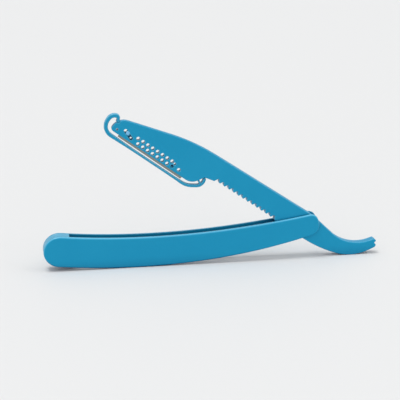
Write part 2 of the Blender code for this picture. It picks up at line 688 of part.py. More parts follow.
def guard_path():
    """Middle line of the guard: hinge, curl round the toe, bar and heel hook."""
    hinge = hinge_place()
    curl = -(TOE_REACH + GUARD_TOE_GAP + CURL_WIDTH / 2)
    bar = -(BLADE_EDGE_DROP + GUARD_EDGE_GAP + BAR_WIDTH / 2)
    top = hinge[1] + CURL_RISE
    hook = Vector((HOOK_REACH - HEEL_REACH, bar + HOOK_RISE))
    width_changes = [CURL_TAPER - TOE_REACH] + [-HEEL_REACH - swell for swell in HOOK_SWELL]
    corners = [(*hinge, 0.0), (hinge[0] - CURL_LEAN, top, CURL_END_RADIUS),
               (curl, top - CURL_FALL, CURL_TOP_RADIUS), (curl, bar, CURL_LOW_RADIUS)]
    corners += [(x, bar, 0.0) for x in width_changes]
    corners += [(-HEEL_REACH - HOOK_START, bar, HOOK_START_RADIUS), (*hook, HOOK_RADIUS),
                (*hook_end(hook), 0.0)]
    return rounded_path(corners, closed=False)


def ramp(place, start, end, first, second):
    """A size that runs from first, at start, to second, at end, and stays so on both sides."""
    share = min(max((place - start) / (end - start), 0.0), 1.0)
    return first + (second - first) * share


def guard_half_width(point):
    """Half width of the guard: narrow at the hinge, full round the curl, slim along the bar
    and wider again at the hook."""
    to_hinge = math.dist(point, hinge_place())
    if to_hinge < NECK_LENGTH:
        return ramp(to_hinge, 0.0, NECK_LENGTH, NECK_WIDTH, CURL_WIDTH) / 2
    swell_start, swell_end = (-HEEL_REACH - swell for swell in HOOK_SWELL)
    if point[0] > swell_start:
        return ramp(point[0], swell_start, swell_end, BAR_WIDTH, HOOK_WIDTH) / 2
    return ramp(point[0], -TOE_REACH, CURL_TAPER - TOE_REACH, CURL_WIDTH, BAR_WIDTH) / 2


def guard_outline():
    path = guard_path()
    return stroke(path, [guard_half_width(point) for point in path])


def nib_outline():
    """Latch nib on the inside of the hook, pointing at the rounding of the heel."""
    centre = Vector(heel_rounding_centre())
    pointing = Vector(polar((0.0, 0.0), 1.0, NIB_BEARING))
    root = min(guard_path(), key=lambda p: (Vector(p) - centre).angle(pointing))
    reach = math.dist(root, centre)
    return stroke([polar(centre, HEEL_RADIUS + NIB_GAP + NIB_HALF_WIDTH, NIB_BEARING),
                   polar(centre, reach, NIB_BEARING)], [NIB_HALF_WIDTH] * 2)


def make_edge_guard(parent, plastic):
    """The guard, drawn round its hinge."""
    hinge = Vector(hinge_place())

    def from_hinge(outline):
        return [tuple(Vector(p) - hinge) for p in outline]

    half = HEAD_THICKNESS / 2
    bm = bmesh.new()
    add_plate(bm, from_hinge(guard_outline()), -half, half, GUARD_RIM, GUARD_RIM)
    guard = as_object("edge_guard", bm, parent, plastic)
    nib_half = half - GUARD_RIM
    combine(guard, "guard_nib", plates([from_hinge(nib_outline())], -nib_half, nib_half), "UNION")


def turned(points, degrees):
    """Points turned clockwise, as seen from the front, about the pivot."""
    return [tuple(Matrix.Rotation(-math.radians(degrees), 2) @ Vector(p)) for p in points]


def resting_pose():
    """The handle's tilt at which the handle and the tail both touch the floor, and the move
    that puts the floor at zero height and the middle of the length at zero."""
    handle, arm = handle_outline(), arm_outline()

    def outlines(tilt):
        return turned(handle, tilt), turned(arm, ARM_OPENING + tilt)

    least, most = -MOST_TILT, MOST_TILT
    for _ in range(TILT_HALVINGS):
        tilt = (least + most) / 2
        lows = [min(z for _, z in outline) for outline in outlines(tilt)]
        if lows[0] > lows[1]:
            most = tilt
        else:
            least = tilt
    points = [p for outline in outlines(tilt) for p in outline]
    xs = [x for x, _ in points]
    return tilt, (-(min(xs) + max(xs)) / 2, -min(z for _, z in points))


def main():
    for obj in list(bpy.data.objects):
        bpy.data.objects.remove(obj, do_unlink=True)
    plastic = material("turquoise_plastic", PLASTIC_COLOUR, PLASTIC_ROUGHNESS)
    steel = material("blade_steel", STEEL_COLOUR, STEEL_ROUGHNESS, metallic=1.0)

    tilt, place = resting_pose()
    handle = empty("handle_frame", None, place, tilt)
    make_scale("handle_front_scale", -1, handle, plastic)
    make_scale("handle_rear_scale", 1, handle, plastic)
    make_pivot_pin(handle, steel)

    arm = empty("arm_pivot", handle, turn=ARM_OPENING)
    make_blade_arm(arm, plastic)
    make_blade(arm, steel)
    make_blade_cover(arm, plastic)

    hinge = empty("guard_hinge", arm, hinge_place())
    make_edge_guard(hinge, plastic)

    bpy.context.view_layer.update()
    for joint in (arm, hinge):
        x, _, z = joint.matrix_world.translation
        print(f"{joint.name}: x {x:.6f} m, z {z:.6f} m")
    print(f"handle tilt {tilt:.3f} degrees")


main()
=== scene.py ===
# %% [markdown]
# # A folding prep razor, dressed around its imported model
# The razor is moulded in turquoise plastic: two bowed handle scales, a blade arm with a comb and
# a finger tail, a plate that clamps the blade, and a thin guard that swings on the toe.
# The whole razor could be modelled again here, but the imported model has the sizes and joints.
# So it is the fixed frame, and this lesson lays the finishes and the fine
# shapes on it.

# %% The imported model
import json
import math

import bmesh
import bpy
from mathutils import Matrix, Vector


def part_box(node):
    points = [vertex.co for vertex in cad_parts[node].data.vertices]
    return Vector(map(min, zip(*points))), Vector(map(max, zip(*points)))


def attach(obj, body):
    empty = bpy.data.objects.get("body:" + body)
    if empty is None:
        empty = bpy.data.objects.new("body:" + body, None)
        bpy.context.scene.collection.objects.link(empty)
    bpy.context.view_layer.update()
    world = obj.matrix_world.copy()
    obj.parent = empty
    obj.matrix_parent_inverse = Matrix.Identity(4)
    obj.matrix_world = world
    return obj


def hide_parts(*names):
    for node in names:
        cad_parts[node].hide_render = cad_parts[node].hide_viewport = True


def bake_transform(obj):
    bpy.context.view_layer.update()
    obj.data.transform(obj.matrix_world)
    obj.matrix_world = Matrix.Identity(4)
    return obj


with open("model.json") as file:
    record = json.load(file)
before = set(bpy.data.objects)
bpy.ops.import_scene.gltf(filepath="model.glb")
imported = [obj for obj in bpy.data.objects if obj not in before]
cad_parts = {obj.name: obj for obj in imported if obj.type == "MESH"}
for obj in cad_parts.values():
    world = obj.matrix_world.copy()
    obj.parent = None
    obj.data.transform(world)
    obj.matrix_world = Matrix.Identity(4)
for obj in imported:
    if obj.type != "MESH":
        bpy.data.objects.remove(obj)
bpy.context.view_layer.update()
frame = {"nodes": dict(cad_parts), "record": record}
nodes = frame["nodes"]
MM = 0.001
print("nodes:", sorted(nodes))

# %% [markdown]
# ## The camera
# A small object like this is photographed with a long lens from a little above, so that its
# faces stay nearly undistorted. The camera could be moved by hand until the picture fits, but
# numbers are easier to correct. So it is placed by its bearing and height around a target, and
# the lens follows from how wide a strip of the object's plane fills the frame.

# %% Camera
CAMERA_YAW = 9.27             # degrees, towards the closed end of the handle
CAMERA_HEIGHT_ANGLE = 16.5    # degrees above the floor
CAMERA_DISTANCE = 600 * MM
CAMERA_TARGET = Vector((-6.485, 0.0, 32.306)) * MM
FRAME_WIDTH = 198.8 * MM      # what the frame shows at the target
SENSOR_WIDTH = 36.0           # mm, as the lens is
CLIP_RANGE = (0.01, 20.0)     # metres between which the camera sees


def spherical(yaw, height_angle):
    """Unit vector from the object towards a bearing, measured from the front (-Y)."""
    yaw, height_angle = math.radians(yaw), math.radians(height_angle)
    level = math.cos(height_angle)
    return Vector((-math.sin(yaw) * level, -math.cos(yaw) * level, math.sin(height_angle)))


camera = bpy.data.objects.new("camera", bpy.data.cameras.new("camera"))
bpy.context.scene.collection.objects.link(camera)
bpy.context.scene.camera = camera
back = spherical(CAMERA_YAW, CAMERA_HEIGHT_ANGLE)
camera.location = CAMERA_TARGET + back * CAMERA_DISTANCE
camera.rotation_euler = (-back).to_track_quat("-Z", "Y").to_euler()
camera.data.sensor_width = SENSOR_WIDTH
camera.data.lens = SENSOR_WIDTH * CAMERA_DISTANCE / FRAME_WIDTH
camera.data.clip_start, camera.data.clip_end = CLIP_RANGE
print("lens in mm:", round(camera.data.lens, 1))

# %% [markdown]
# ## The table
# The razor stands on a plain pale table with a matt, even face that runs out of the frame on
# all sides. A curved backdrop would do as well, but the frame shows nothing of it from this
# height. A flat grid is enough, with one plain material, so that only the shadow marks it.

# %% Table
TABLE_COLOUR = (0.737, 0.738, 0.735)
TABLE_HALF_WIDTH = 4.0        # metres
TABLE_SQUARES = 8
TABLE_ROUGHNESS = 0.6
TABLE_SHEEN = 0.2


def opaque(colour):
    """A colour with full alpha, as sockets want it."""
    return (*colour, 1.0)


def node_material(name):
    """An empty material and its shader, for the node set-ups below."""
    mat = bpy.data.materials.new(name)
    mat.use_nodes = True
    return mat, mat.node_tree.nodes["Principled BSDF"]


def make_table():
    bm = bmesh.new()
    bmesh.ops.create_grid(bm, x_segments=TABLE_SQUARES, y_segments=TABLE_SQUARES,
                          size=TABLE_HALF_WIDTH)
    mesh = bpy.data.meshes.new("table")
    bm.to_mesh(mesh)
    bm.free()
    table = bpy.data.objects.new("table", mesh)
    bpy.context.scene.collection.objects.link(table)
    mat, shader = node_material("pale_table")
    shader.inputs["Base Color"].default_value = opaque(TABLE_COLOUR)
    shader.inputs["Roughness"].default_value = TABLE_ROUGHNESS
    shader.inputs["Specular IOR Level"].default_value = TABLE_SHEEN
    mesh.materials.append(mat)
    return table


print("stage:", make_table().name)

# %% [markdown]
# ## The light
# The light is one soft lamp overhead and a little to the left, which draws the bright line
# along every upper rim and keeps the shadow right under the handle. Two weaker ones from the
# front and the right and an even pale room fill the faces. Area lamps would do too, but the
# light of a sun lamp doesn't fall off, so the table stays even, and its wide disc keeps the
# shadow soft.

# %% Lamps and room
ROOM_COLOUR = (0.975, 0.985, 1.0)
ROOM_STRENGTH = 0.675
LAMPS = {
    # name: (yaw from the front, height angle, strength, width of the disc in degrees)
    "overhead_softbox": (80.0, 77.0, 1.20, 20.0),
    "front_fill": (20.0, 30.0, 0.54, 80.0),
    "right_fill": (-75.0, 38.0, 0.36, 40.0),
}


def make_lamp(name, yaw, height_angle, strength, disc):
    lamp = bpy.data.objects.new(name, bpy.data.lights.new(name, "SUN"))
    bpy.context.scene.collection.objects.link(lamp)
    lamp.rotation_euler = spherical(yaw, height_angle).to_track_quat("Z", "Y").to_euler()
    lamp.data.energy = strength
    lamp.data.angle = math.radians(disc)
    return lamp


for lamp_name, setting in LAMPS.items():
    make_lamp(lamp_name, *setting)
room = bpy.data.worlds.new("room")
bpy.context.scene.world = room
room.use_nodes = True
air = room.node_tree.nodes["Background"]
air.inputs["Color"].default_value = opaque(ROOM_COLOUR)
air.inputs["Strength"].default_value = ROOM_STRENGTH
bpy.context.scene.view_settings.view_transform = "Standard"
print("lamps:", list(LAMPS))

# %% [markdown]
# ## Helpers for shader nodes
# Every finish below is a small network of fields that are spread to a range, combined, and fed
# to one shader. Such a network could be laid out by hand in the shader editor. Short helpers
# are used here, so that each finish reads as a list of what it does. All noise is read in the
# piece's own coordinates, so that a finish moves with its piece.

# %% Node helpers
def add_node(mat, kind, **inputs):
    """A shader node with some of its inputs set by name."""
    made = mat.node_tree.nodes.new(kind)
    for key, value in inputs.items():
        made.inputs[key.replace("_", " ")].default_value = value
    return made


def link(mat, source, source_name, target, target_name):
    mat.node_tree.links.new(source.outputs[source_name], target.inputs[target_name])


def noise_field(mat, source, source_name, scale, detail):
    made = add_node(mat, "ShaderNodeTexNoise", Scale=scale, Detail=detail)
    link(mat, source, source_name, made, "Vector")
    return made


def spread(mat, source, source_name, low, high, start=0.0, end=1.0):
    """Map a field that runs from start to end to a range, and hold it there beyond."""
    made = add_node(mat, "ShaderNodeMapRange", From_Min=start, From_Max=end,
                    To_Min=low, To_Max=high)
    link(mat, source, source_name, made, "Value")
    return made


print("field helpers ready")

# %% [markdown]
# ## Helpers that combine fields
# A finish is more than one field: a colour blends into another by a mask, and a mask is often
# made from two others. Node groups could hold such steps too, but a function is easier to read
# and to change. These helpers blend two colours, measure a direction and combine two numbers.

# %% Combining helpers
def mix_colours(mat, first, second, share, share_name="Result"):
    """Blend from first to second. Each is a colour, or a node whose Result is one."""
    made = mat.node_tree.nodes.new("ShaderNodeMix")
    made.data_type = "RGBA"
    for socket, source in (("A", first), ("B", second)):
        # The mix node has one socket of this name for each kind of data
        target = [s for s in made.inputs if s.name == socket and s.type == "RGBA"][0]
        if isinstance(source, tuple):
            target.default_value = opaque(source)
        else:
            mat.node_tree.links.new(colour_of(source), target)
    mat.node_tree.links.new(share.outputs[share_name], made.inputs[0])
    return made


def colour_of(mix):
    """The colour output of a mix node."""
    return [s for s in mix.outputs if s.type == "RGBA"][0]


def along(mat, source, source_name, direction):
    """How far a vector field goes along a direction."""
    made = mat.node_tree.nodes.new("ShaderNodeVectorMath")
    made.operation = "DOT_PRODUCT"
    made.inputs[1].default_value = direction
    mat.node_tree.links.new(source.outputs[source_name], made.inputs[0])
    return made


def combined(mat, operation, first, second):
    """One field from two by an operation. Each is given as a node and its output's name."""
    made = mat.node_tree.nodes.new("ShaderNodeMath")
    made.operation = operation
    for socket, (source, name) in zip(made.inputs, (first, second)):
        mat.node_tree.links.new(source.outputs[name], socket)
    return made


print("combining helpers ready")

# %% [markdown]
# ## Where a finish finds the rims
# On the upper rims the mould is polished, so they are glossier than the faces, and they are
# painted lighter, a painted highlight for the overhead lamp that they catch. They could be
# painted as a second material on their own
# faces. Here a field finds them: comparing the true normal with a rounded one gives the rims
# of any mesh, and the pieces made below carry a share of rim on their points. A second field
# says how far the piece's own normal points up, because only the upper rims get the polish and
# the painted highlight.

# %% Rims
RIM_RADIUS = 0.7 * MM         # of the band that counts as a rim
RIM_MATCH = (0.86, 0.995)     # match of the two normals on a full rim and on a face
# The polish and the painted rim highlight set in only on rims whose normal points up
UPPER_RIMS = (-0.7, 0.4)      # heights of the normal between which the rims set in
RIM_POLISH_AND_HIGHLIGHT_SHARE = "rim_polish_and_highlight_share"       # name of the points' own share of rim
UPWARDS = (0.0, 0.0, 1.0)
BEVEL_SAMPLES = 6


def rounded_normal(mat, radius):
    """The surface's normal as if every edge were rounded by a radius."""
    soft = add_node(mat, "ShaderNodeBevel", Radius=radius)
    soft.samples = BEVEL_SAMPLES
    return soft


def facing_up(mat, low, high):
    """0 where the piece's own normal points down and 1 where it points up, between two
    heights of the normal."""
    own = mat.node_tree.nodes.new("ShaderNodeTexCoord")
    height = along(mat, own, "Normal", UPWARDS)
    return spread(mat, height, "Value", 0.0, 1.0, low, high)


def rim_polish_and_highlight_mask(mat):
    """1 on an upper rim and 0 on a face: where the rims are polished and carry a painted
    highlight.
    """
    soft = rounded_normal(mat, RIM_RADIUS)
    true = mat.node_tree.nodes.new("ShaderNodeNewGeometry")
    match = mat.node_tree.nodes.new("ShaderNodeVectorMath")
    match.operation = "DOT_PRODUCT"
    mat.node_tree.links.new(soft.outputs["Normal"], match.inputs[0])
    mat.node_tree.links.new(true.outputs["Normal"], match.inputs[1])
    found = spread(mat, match, "Value", 1.0, 0.0, *RIM_MATCH)
    carried = mat.node_tree.nodes.new("ShaderNodeAttribute")
    carried.attribute_name = RIM_POLISH_AND_HIGHLIGHT_SHARE
    share = combined(mat, "MAXIMUM", (found, "Result"), (carried, "Fac"))
    upper = facing_up(mat, *UPPER_RIMS)
    return combined(mat, "MULTIPLY", (share, "Value"), (upper, "Result"))


print("rims within", round(RIM_RADIUS / MM, 2), "mm of an edge")

# %% [markdown]
# ## The plastic's colour
# The plastic is dyed through, so its colour only drifts a little where the melt flowed. In the
# narrow slot and in the windows light bounces from wall to wall, and each bounce takes more
# red out of it, so the colour there turns to navy. The renderer's own bounces give some of
# this. An occlusion field paints the rest in as navy shade, because it costs less than many more
# bounces.
# On the upper rims a lighter colour is painted in as a highlight.

# %% Plastic colour
PLASTIC_COLOUR = (0.005, 0.272, 0.485)
PLASTIC_FLOW_COLOUR = (0.008, 0.302, 0.515)
# Painted shade: a darker navy laid into the colour where the occlusion finds little open sky
PLASTIC_SHADE_COLOUR = (0.0, 0.068, 0.18)
# Painted highlight: the lighter colour of the upper rims, which catch the overhead lamp
PLASTIC_RIM_HIGHLIGHT_COLOUR = (0.12, 0.52, 0.74)
SLOT_DEPTH = 12.0 * MM        # how far the occlusion looks
# Shares of open sky at which the painted shade is full and at which there is none
SKY_SHARES = (0.15, 0.70)     # of open sky, where the colour is deepest and where it is plain
SKY_SAMPLES = 8
NOISES = {
    # name: (scale, detail)
    "flow": (45.0, 3.0),
    "patches": (160.0, 4.0),
    "grain": (2600.0, 2.0),
    "scuffs": (420.0, 6.0),
}


def plastic_noise(mat, place, name):
    return noise_field(mat, place, "Object", *NOISES[name])


def plastic_colour(mat, place, tints, rim):
    """The drifting body colour, with painted shade in narrow places and a painted highlight on
    the upper rims.
    """
    body = mix_colours(mat, *tints, plastic_noise(mat, place, "flow"), "Fac")
    # Painted shade: the colour darkens where the occlusion finds little open sky
    open_sky = add_node(mat, "ShaderNodeAmbientOcclusion", Distance=SLOT_DEPTH)
    open_sky.samples = SKY_SAMPLES
    painted_shade_share = spread(mat, open_sky, "AO", 1.0, 0.0, *SKY_SHARES)
    shaded_colour = mix_colours(mat, body, PLASTIC_SHADE_COLOUR, painted_shade_share)
    # The upper rims are painted lighter, as a highlight
    return mix_colours(mat, shaded_colour, PLASTIC_RIM_HIGHLIGHT_COLOUR, rim, "Value")


print("noises:", list(NOISES))

# %% [markdown]
# ## The plastic's gloss and grain
# The flat faces keep the fine spark-eroded grain of the steel mould, with a few faint scuffs,
# and shine only when seen aslant. The rims are smoother. A single roughness would make the
# razor look like one wax casting, so the gloss drifts in patches and is set apart on the rims.

# %% Plastic gloss and grain
FACE_GLOSS = (0.34, 0.48)     # range of roughness on the faces
RIM_GLOSS = 0.20
FACE_SHEEN, GRAZING_SHEEN = 0.2, 0.9    # of the specular layer, seen square and aslant
RIM_SHEEN = 1.0
SLANTS = (0.35, 0.8)          # of the view, between which the sheen grows
OPEN_SIDES = (-0.5, 0.1)      # heights of the normal between which a side gets its sheen
FACING_BLEND = 0.5
GRAIN_STRENGTH = 0.12
GRAIN_HEIGHT, SCUFF_HEIGHT = 0.04 * MM, 0.06 * MM
ROUND_RADIUS = 0.4 * MM       # of the rounding that the light sees


def plastic_roughness(mat, place, face_gloss, rim):
    gloss = spread(mat, plastic_noise(mat, place, "patches"), "Fac", *face_gloss)
    worn = mat.node_tree.nodes.new("ShaderNodeMix")
    mat.node_tree.links.new(rim.outputs["Value"], worn.inputs[0])
    mat.node_tree.links.new(gloss.outputs["Result"], worn.inputs[2])
    worn.inputs[3].default_value = RIM_GLOSS
    return worn


def plastic_sheen(mat, rim):
    slant = add_node(mat, "ShaderNodeLayerWeight", Blend=FACING_BLEND)
    slant_sheen = spread(mat, slant, "Facing", FACE_SHEEN, GRAZING_SHEEN, *SLANTS)
    open_side = facing_up(mat, *OPEN_SIDES)
    side_sheen = combined(mat, "MULTIPLY", (slant_sheen, "Result"), (open_side, "Result"))
    rim_sheen = spread(mat, rim, "Value", 0.0, RIM_SHEEN)
    return combined(mat, "MAXIMUM", (side_sheen, "Value"), (rim_sheen, "Result"))


def plastic_grain(mat, place, strength):
    """Scuffs on the rounded normal, and the mould's grain on top of them."""
    fine = add_node(mat, "ShaderNodeBump", Strength=strength, Distance=GRAIN_HEIGHT)
    coarse = add_node(mat, "ShaderNodeBump", Strength=strength / 2, Distance=SCUFF_HEIGHT)
    link(mat, rounded_normal(mat, ROUND_RADIUS), "Normal", coarse, "Normal")
    link(mat, plastic_noise(mat, place, "scuffs"), "Fac", coarse, "Height")
    link(mat, plastic_noise(mat, place, "grain"), "Fac", fine, "Height")
    link(mat, coarse, "Normal", fine, "Normal")
    return fine


print("roughness of the faces:", FACE_GLOSS, "and of the rims:", RIM_GLOSS)

# %% [markdown]
# ## The three plastics
# All plastic on the razor is of one melt. The pieces have it as moulded, and the two pegs were
# melted over, which left them smoother. The toe peg's pale tint is a painted highlight, and the
# heel peg's near-black tint is painted shade. Separate networks could be drawn for them, but one
# function with other tints and less grain gives all three.

# %% Plastics
# The toe peg's pale tints are a painted highlight, and the heel peg's near-black ones are
# painted shade
PEG_HIGHLIGHT_TINTS = ((0.13, 0.41, 0.68), (0.24, 0.55, 0.84))
PEG_SHADE_TINTS = ((0.0, 0.016, 0.05), (0.0, 0.022, 0.065))
MELTED = {"face_gloss": (0.12, 0.2), "grain_strength": 0.03}


def moulded_plastic(name, tints=(PLASTIC_COLOUR, PLASTIC_FLOW_COLOUR),
                    face_gloss=FACE_GLOSS, grain_strength=GRAIN_STRENGTH):
    mat, shader = node_material(name)
    place = mat.node_tree.nodes.new("ShaderNodeTexCoord")
    rim = rim_polish_and_highlight_mask(mat)
    colour = plastic_colour(mat, place, tints, rim)
    mat.node_tree.links.new(colour_of(colour), shader.inputs["Base Color"])
    roughness = plastic_roughness(mat, place, face_gloss, rim)
    mat.node_tree.links.new(roughness.outputs[0], shader.inputs["Roughness"])
    link(mat, plastic_sheen(mat, rim), "Value", shader, "Specular IOR Level")
    link(mat, plastic_grain(mat, place, grain_strength), "Normal", shader, "Normal")
    return mat


turquoise = moulded_plastic("turquoise_moulded_plastic")
peg_highlight_plastic = moulded_plastic("melted_plastic_painted_highlight", tints=PEG_HIGHLIGHT_TINTS, **MELTED)
peg_shade_plastic = moulded_plastic("melted_plastic_painted_shade", tints=PEG_SHADE_TINTS, **MELTED)
print("plastics:", turquoise.name, peg_highlight_plastic.name, peg_shade_plastic.name)

# %% [markdown]
# ## The arm's own axes
# The blade, its edge and the pegs lie along the arm, which stands open at an angle. Its frame
# has its origin at the pivot, X towards the tail and Z towards the spine. The angle is read
# from the blade: the long axis of its points is the axis of the arm.

# %% Arm axes
joints = {joint["name"]: joint for joint in frame["record"]["behaviour"]["joints"]}
PIVOT = Vector(joints["arm_fold"]["pos_m"])
HINGE = Vector(joints["guard_swing"]["pos_m"])


def long_axis_angle(node):
    """Angle of a flat node's long axis above X, from the spread of its points."""
    points = [v.co for v in node.data.vertices]
    middle = sum(points, Vector()) / len(points)
    xx = sum((p.x - middle.x) ** 2 for p in points)
    zz = sum((p.z - middle.z) ** 2 for p in points)
    xz = sum((p.x - middle.x) * (p.z - middle.z) for p in points)
    return math.atan2(2 * xz, xx - zz) / 2


arm_angle = long_axis_angle(nodes["blade"])
ALONG = Vector((math.cos(arm_angle), 0.0, math.sin(arm_angle)))
UP = Vector((-math.sin(arm_angle), 0.0, math.cos(arm_angle)))


def arm_point(x, y, z):
    """A point given in the arm's frame, in millimetres, as a place in the scene."""
    return PIVOT + (ALONG * x + UP * z) * MM + Vector((0.0, y * MM, 0.0))


blade_low = min((v.co - PIVOT).dot(UP) for v in nodes["blade"].data.vertices)
print("arm angle:", round(math.degrees(arm_angle), 2), "edge drop:", round(blade_low / MM, 2))

# %% [markdown]
# ## Lined steel
# Rolled and drawn steel has long, fine lines in one direction. They could be an image texture,
# but that needs a file and an unwrapped mesh. A noise that is stretched along one axis of the
# arm draws such lines on any mesh, and drives both the roughness and a very low bump.

# %% Lined steel
LINE_NOISE = (5200.0, 3.0)    # scale and detail
LINE_RANGE = (0.3, 0.7)       # of the noise, over which the roughness changes
LINE_STRETCH = 1 / 0.03       # of the noise along one axis, which draws it out into lines
LINE_STRENGTH = 0.15
LINE_HEIGHT = 0.01 * MM


def steel_finish(name, gloss_range, line_axis):
    """Metal with fine lines drawn out along one axis. Gives the material, the shader and its
    coordinates, for colours to be added."""
    mat, shader = node_material(name)
    shader.inputs["Metallic"].default_value = 1.0
    place = mat.node_tree.nodes.new("ShaderNodeTexCoord")
    turn = mat.node_tree.nodes.new("ShaderNodeMapping")
    turn.vector_type = "TEXTURE"
    turn.inputs["Rotation"].default_value = (0.0, -arm_angle, 0.0)
    stretch = [1.0, 1.0, 1.0]
    stretch[line_axis] = LINE_STRETCH
    turn.inputs["Scale"].default_value = stretch
    link(mat, place, "Object", turn, "Vector")
    lines = noise_field(mat, turn, "Vector", *LINE_NOISE)
    gloss = spread(mat, lines, "Fac", *gloss_range, *LINE_RANGE)
    link(mat, gloss, "Result", shader, "Roughness")
    bump = add_node(mat, "ShaderNodeBump", Strength=LINE_STRENGTH, Distance=LINE_HEIGHT)
    link(mat, lines, "Fac", bump, "Height")
    link(mat, bump, "Normal", shader, "Normal")
    return mat, shader, place


print("lines drawn out", round(LINE_STRETCH), "times")

# %% [markdown]
# ## Blade and pin steel
# The blade is a ground strip. Its flat is a cool grey with the lines of rolling, and its cutting
# bevel is a band of its own, darker and warmer: a painted reflection of the dark underside of
# the head. The band could be a second material with a seam. One material is enough, in which the
# height across the arm says where the bevel starts. The pin is cut from drawn wire, so its
# lines run along it.

# %% Steels
STRIP_COLOUR = (0.40, 0.44, 0.55)
# Painted reflection: the bevel's darker, warmer colour stands for the dark underside of the head
BEVEL_REFLECTION_COLOUR = (0.27, 0.285, 0.26)
PIN_COLOUR = (0.55, 0.55, 0.56)
STRIP_GLOSS = (0.22, 0.42)    # range of roughness
PIN_GLOSS = (0.25, 0.38)
BEVEL_HEIGHT = 1.05 * MM      # of the ground band, with the line where it starts
BEVEL_LINE = 0.9              # share of that height at which the line sets in
ALONG_BLADE, ALONG_PIN = 0, 1     # the axes of their lines, in the arm's frame


def blade_steel():
    mat, shader, place = steel_finish("ground_blade_steel", STRIP_GLOSS, ALONG_BLADE)
    height = along(mat, place, "Object", UP)
    edge = PIVOT.dot(UP) + blade_low
    line = (edge + BEVEL_HEIGHT * BEVEL_LINE, edge + BEVEL_HEIGHT)
    flat = spread(mat, height, "Value", 0.0, 1.0, *line)
    # The bevel band gets the painted reflection, the flat its own cool grey
    tint = mix_colours(mat, BEVEL_REFLECTION_COLOUR, STRIP_COLOUR, flat)
    mat.node_tree.links.new(colour_of(tint), shader.inputs["Base Color"])
    return mat


def pin_steel():
    mat, shader, _ = steel_finish("drawn_pin_steel", PIN_GLOSS, ALONG_PIN)
    shader.inputs["Base Color"].default_value = opaque(PIN_COLOUR)
    return mat


steels = {"blade": blade_steel(), "pivot_pin": pin_steel()}
print("steels:", [mat.name for mat in steels.values()])

# %% [markdown]
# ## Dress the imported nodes
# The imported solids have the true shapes, so they stay and get their finish. Their corners are
# mathematically sharp, which no moulding is. They could be rounded in the solids, at the price
# of many faces for the solver. Here a weld joins the split points, and a very small bevel breaks
# every corner, so that it catches a thin line of light.

# %% Dress the nodes
EDGE_ANGLE = math.radians(30)     # from which an edge counts as sharp
WELD_DISTANCE = 0.001 * MM
CORNER_BREAK = 0.06 * MM
CORNER_STEPS = 2


def break_corners(obj):
    """Weld a mesh and round its sharp edges a little."""
    weld = obj.modifiers.new("weld", "WELD")
    weld.merge_threshold = WELD_DISTANCE
    bevel = obj.modifiers.new("soft_edges", "BEVEL")
    bevel.width = CORNER_BREAK
    bevel.segments = CORNER_STEPS
    bevel.limit_method = "ANGLE"
    bevel.angle_limit = EDGE_ANGLE
    bevel.harden_normals = False


for name, node in nodes.items():
    node.material_slots[0].material = steels.get(name, turquoise)
    break_corners(node)
print("dressed nodes:", len(nodes))

# %% [markdown]
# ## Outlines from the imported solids
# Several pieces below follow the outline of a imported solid. It could be typed in as a list of
# points, but that list would not follow a change of the solid. A slice finds it: a copy of the
# mesh is cut by a plane across its thickness, the cut edges are put in order, and the longest
# loop of them is the outline.

# %% Slices
TOO_NEAR = 0.02 * MM          # points that are no further apart count as one
STRAIGHT = 0.0005             # radians, up to which a turn counts as none
SLICES = {
    # node: place of the plane along Y, in millimetres
    "handle_front_scale": -3.0,
    "handle_rear_scale": 3.0,
    "blade_arm": -0.7,
    "edge_guard": 0.0,
}


def ordered_loops(edges):
    """Chains of points that follow the edges of a cut."""
    beside = {}
    for edge in edges:
        for a, b in (edge.verts, reversed(edge.verts)):
            beside.setdefault(a, []).append(b)
    loops = []
    while beside:
        here, loop = next(iter(beside)), []
        while here in beside:
            loop.append(here.co.copy())
            following = [v for v in beside.pop(here) if v in beside]
            here = following[0] if following else None
        loops.append(loop)
    return loops


def loop_length(loop):
    return sum((b - a).length for a, b in zip(loop, loop[1:] + loop[:1]))


def without_doubles(loop):
    """The loop without points that nearly touch the one before or lie on a straight side."""
    kept = [p for i, p in enumerate(loop) if (p - loop[i - 1]).length > TOO_NEAR]
    return [p for i, p in enumerate(kept)
            if (p - kept[i - 1]).angle(kept[(i + 1) % len(kept)] - p) > STRAIGHT]


def slice_outline(node, y):
    """The longest loop in which a plane of constant Y cuts a node."""
    bm = bmesh.new()
    bm.from_mesh(node.data)
    bmesh.ops.remove_doubles(bm, verts=bm.verts, dist=WELD_DISTANCE)
    cut = bmesh.ops.bisect_plane(bm, geom=bm.verts[:] + bm.edges[:] + bm.faces[:],
                                 plane_co=(0.0, y * MM, 0.0), plane_no=(0.0, 1.0, 0.0))
    edges = [e for e in cut["geom_cut"] if isinstance(e, bmesh.types.BMEdge)]
    loop = max(ordered_loops(edges), key=loop_length)
    bm.free()
    return without_doubles(loop)


outlines = {name: slice_outline(nodes[name], y) for name, y in SLICES.items()}
print("points of the outlines:", {name: len(loop) for name, loop in outlines.items()})

# %% [markdown]
# ## Smooth outlines
# The solid's arcs are chords, and on a shiny rim each chord would show as a flat. Subdividing
# the whole loop would round its sharp corners too. So a smooth curve is laid through the
# chords' ends only where the loop turns gently. A sharp corner stays sharp, and round the
# guard's hinge the chords stay too, because the neck swings past the head with hardly any room.

# %% Smooth outlines
LOOP_STEPS = 4                # new points for each old side
GENTLE_TURN = math.radians(28)
HINGE_ZONE = 4.0 * MM         # round the guard's hinge, where neck and head barely clear


